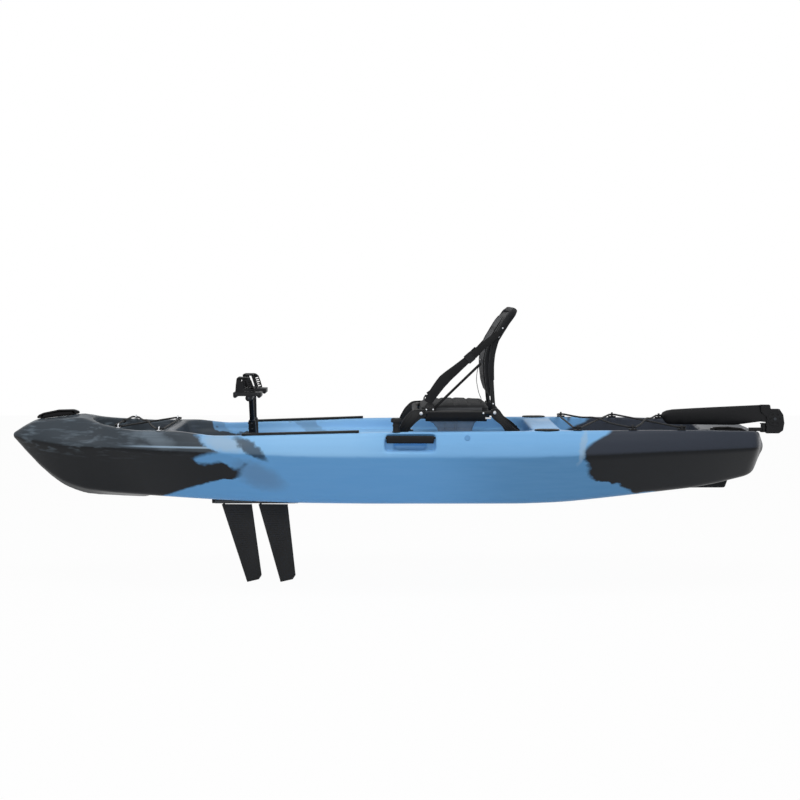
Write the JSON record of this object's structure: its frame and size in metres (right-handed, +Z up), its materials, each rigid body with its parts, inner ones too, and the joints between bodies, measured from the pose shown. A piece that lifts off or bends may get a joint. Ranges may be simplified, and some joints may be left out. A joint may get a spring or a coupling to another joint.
{
  "type": "pedal kayak",
  "caption": "Sit-on-top fishing kayak with pedal-driven fins, framed seat, gear wells, shock cords, swing-out side grips and a kick-up rudder.",
  "frame": {"origin": "on the flat of the hull bottom, amidships on the centreline", "axes": "+X from bow to stern, +Y to starboard, +Z up"},
  "size_m": [3.3039, 0.84, 1.1831],
  "materials": {
    "hull_plastic": "semi-gloss rotomoulded polyethylene, blue marbled with dark slate",
    "black_rubber": "matt",
    "black_plastic": "satin moulded",
    "stainless": "polished",
    "black_metal": "powder-coated",
    "red_metal": "anodised",
    "fin_plastic": "satin, flexible",
    "seat_fabric": "padded woven fabric",
    "webbing": "woven",
    "shock_cord": "braided sheath",
    "blade_plastic": "satin moulded"
  },
  "bodies": {
    "hull_body": {"hull": "hull_plastic", "side_plug": "hull_plastic", "bow_grip": "black_rubber", "stern_grip": "black_rubber", "left_track": "black_metal", "right_track": "black_metal", "left_rod_cap": "black_plastic", "right_rod_cap": "black_plastic", "bow_bungee": "shock_cord", "stern_bungee": "shock_cord", "steering_post": "black_plastic", "drive_spine": "black_plastic", "drive_handle": "black_plastic", "fin_axle": "stainless", "drive_cable": "stainless", "seat_frame": "black_metal", "seat_cushion": "seat_fabric", "rudder_base": "black_metal", "left_front_leg": "black_metal", "left_rear_leg": "black_metal", "left_back_strap": "webbing", "bow_eye_left_1": "stainless", "bow_eye_left_2": "stainless", "pad_eye_left_1": "black_plastic", "pad_eye_left_2": "black_plastic", "pad_eye_left_3": "black_plastic", "right_front_leg": "black_metal", "right_rear_leg": "black_metal", "right_back_strap": "webbing", "bow_eye_right_1": "stainless", "bow_eye_right_2": "stainless", "pad_eye_right_1": "black_plastic", "pad_eye_right_2": "black_plastic", "pad_eye_right_3": "black_plastic"},
    "left_side_grip": {"left_grip": "black_plastic"},
    "right_side_grip": {"right_grip": "black_plastic"},
    "steering_arm": {"steering_lever": "black_plastic"},
    "left_crank_arm": {"left_crank": "red_metal", "left_arm": "black_metal"},
    "right_crank_arm": {"right_crank": "red_metal", "right_arm": "black_metal"},
    "left_foot": {"left_pedal": "black_plastic", "left_toe_strap": "black_rubber"},
    "right_foot": {"right_pedal": "black_plastic", "right_toe_strap": "black_rubber"},
    "front_fin_body": {"front_mast": "stainless", "front_fin": "fin_plastic"},
    "rear_fin_body": {"rear_mast": "stainless", "rear_fin": "fin_plastic"},
    "front_pulley": {"front_idler": "stainless"},
    "rear_pulley": {"rear_idler": "stainless"},
    "front_turn_button": {"front_latch": "black_plastic"},
    "rear_turn_button": {"rear_latch": "black_plastic"},
    "backrest": {"back_frame": "black_metal", "back_pad": "seat_fabric"},
    "rudder_swivel": {"rudder_head": "black_plastic", "rudder_bolt": "stainless"},
    "rudder_foil": {"rudder_blade": "blade_plastic"}
  },
  "joints": [
    {"name": "left_grip_swing", "type": "hinge", "parent": "hull_body", "child": "left_side_grip", "pos_m": [0.09, -0.3848, 0.2905], "axis": [1, 0, 0], "range_deg": [-70, 0]},
    {"name": "right_grip_swing", "type": "hinge", "parent": "hull_body", "child": "right_side_grip", "pos_m": [0.09, 0.3848, 0.2905], "axis": [1, 0, 0], "range_deg": [0, 70]},
    {"name": "steering_turn", "type": "hinge", "parent": "hull_body", "child": "steering_arm", "pos_m": [0.03407, -0.3668, 0.3522], "axis": [0, 0, 1], "range_deg": [-30, 30]},
    {"name": "left_crank_swing", "type": "hinge", "parent": "hull_body", "child": "left_crank_arm", "pos_m": [-0.5731, 0, 0.09], "axis": [0, 1, 0], "range_deg": [-36, 36]},
    {"name": "right_crank_swing", "type": "hinge", "parent": "hull_body", "child": "right_crank_arm", "pos_m": [-0.5731, 0, 0.09], "axis": [0, 1, 0], "range_deg": [-36, 36]},
    {"name": "front_fin_swing", "type": "hinge", "parent": "hull_body", "child": "front_fin_body", "pos_m": [-0.6661, 0, -0.016], "axis": [1, 0, 0], "range_deg": [-72, 72]},
    {"name": "rear_fin_swing", "type": "hinge", "parent": "hull_body", "child": "rear_fin_body", "pos_m": [-0.4811, 0, -0.016], "axis": [1, 0, 0], "range_deg": [-72, 72]},
    {"name": "front_pulley_turn", "type": "hinge", "parent": "hull_body", "child": "front_pulley", "pos_m": [-0.7161, -0.013, 0.034], "axis": [0, 1, 0], "range_deg": [-106, 106]},
    {"name": "rear_pulley_turn", "type": "hinge", "parent": "hull_body", "child": "rear_pulley", "pos_m": [-0.4241, -0.013, 0.034], "axis": [0, 1, 0], "range_deg": [-106, 106]},
    {"name": "left_pedal_tilt", "type": "hinge", "parent": "left_crank_arm", "child": "left_foot", "pos_m": [-0.5831, -0.134, 0.438], "axis": [0, 1, 0], "range_deg": [-45, 45]},
    {"name": "right_pedal_tilt", "type": "hinge", "parent": "right_crank_arm", "child": "right_foot", "pos_m": [-0.5831, 0.134, 0.438], "axis": [0, 1, 0], "range_deg": [-45, 45]},
    {"name": "front_latch_turn", "type": "hinge", "parent": "hull_body", "child": "front_turn_button", "pos_m": [-0.8091, 0, 0.072], "axis": [0, 0, 1], "range_deg": [0, 90]},
    {"name": "rear_latch_turn", "type": "hinge", "parent": "hull_body", "child": "rear_turn_button", "pos_m": [-0.3311, 0, 0.072], "axis": [0, 0, 1], "range_deg": [0, 90]},
    {"name": "backrest_fold", "type": "hinge", "parent": "hull_body", "child": "backrest", "pos_m": [0.44005, 0, 0.383], "axis": [0, 1, 0], "range_deg": [-40, 0], "deforming": ["left_back_strap", "right_back_strap"]},
    {"name": "rudder_yaw", "type": "hinge", "parent": "hull_body", "child": "rudder_swivel", "pos_m": [1.607, 0, 0.299], "axis": [0, 0, 1], "range_deg": [-30, 30]},
    {"name": "rudder_kick", "type": "hinge", "parent": "rudder_swivel", "child": "rudder_foil", "pos_m": [1.654, 0, 0.337], "axis": [0, 1, 0], "range_deg": [0, 260]}
  ],
  "couplings": [
    {"joint": "right_crank_swing", "follows": "left_crank_swing", "ratio": -1},
    {"joint": "front_fin_swing", "follows": "left_crank_swing", "ratio": 2},
    {"joint": "rear_fin_swing", "follows": "left_crank_swing", "ratio": -2},
    {"joint": "front_pulley_turn", "follows": "left_crank_swing", "ratio": 2.9095},
    {"joint": "rear_pulley_turn", "follows": "left_crank_swing", "ratio": 2.9095},
    {"joint": "rudder_yaw", "follows": "steering_turn", "ratio": 1}
  ]
}
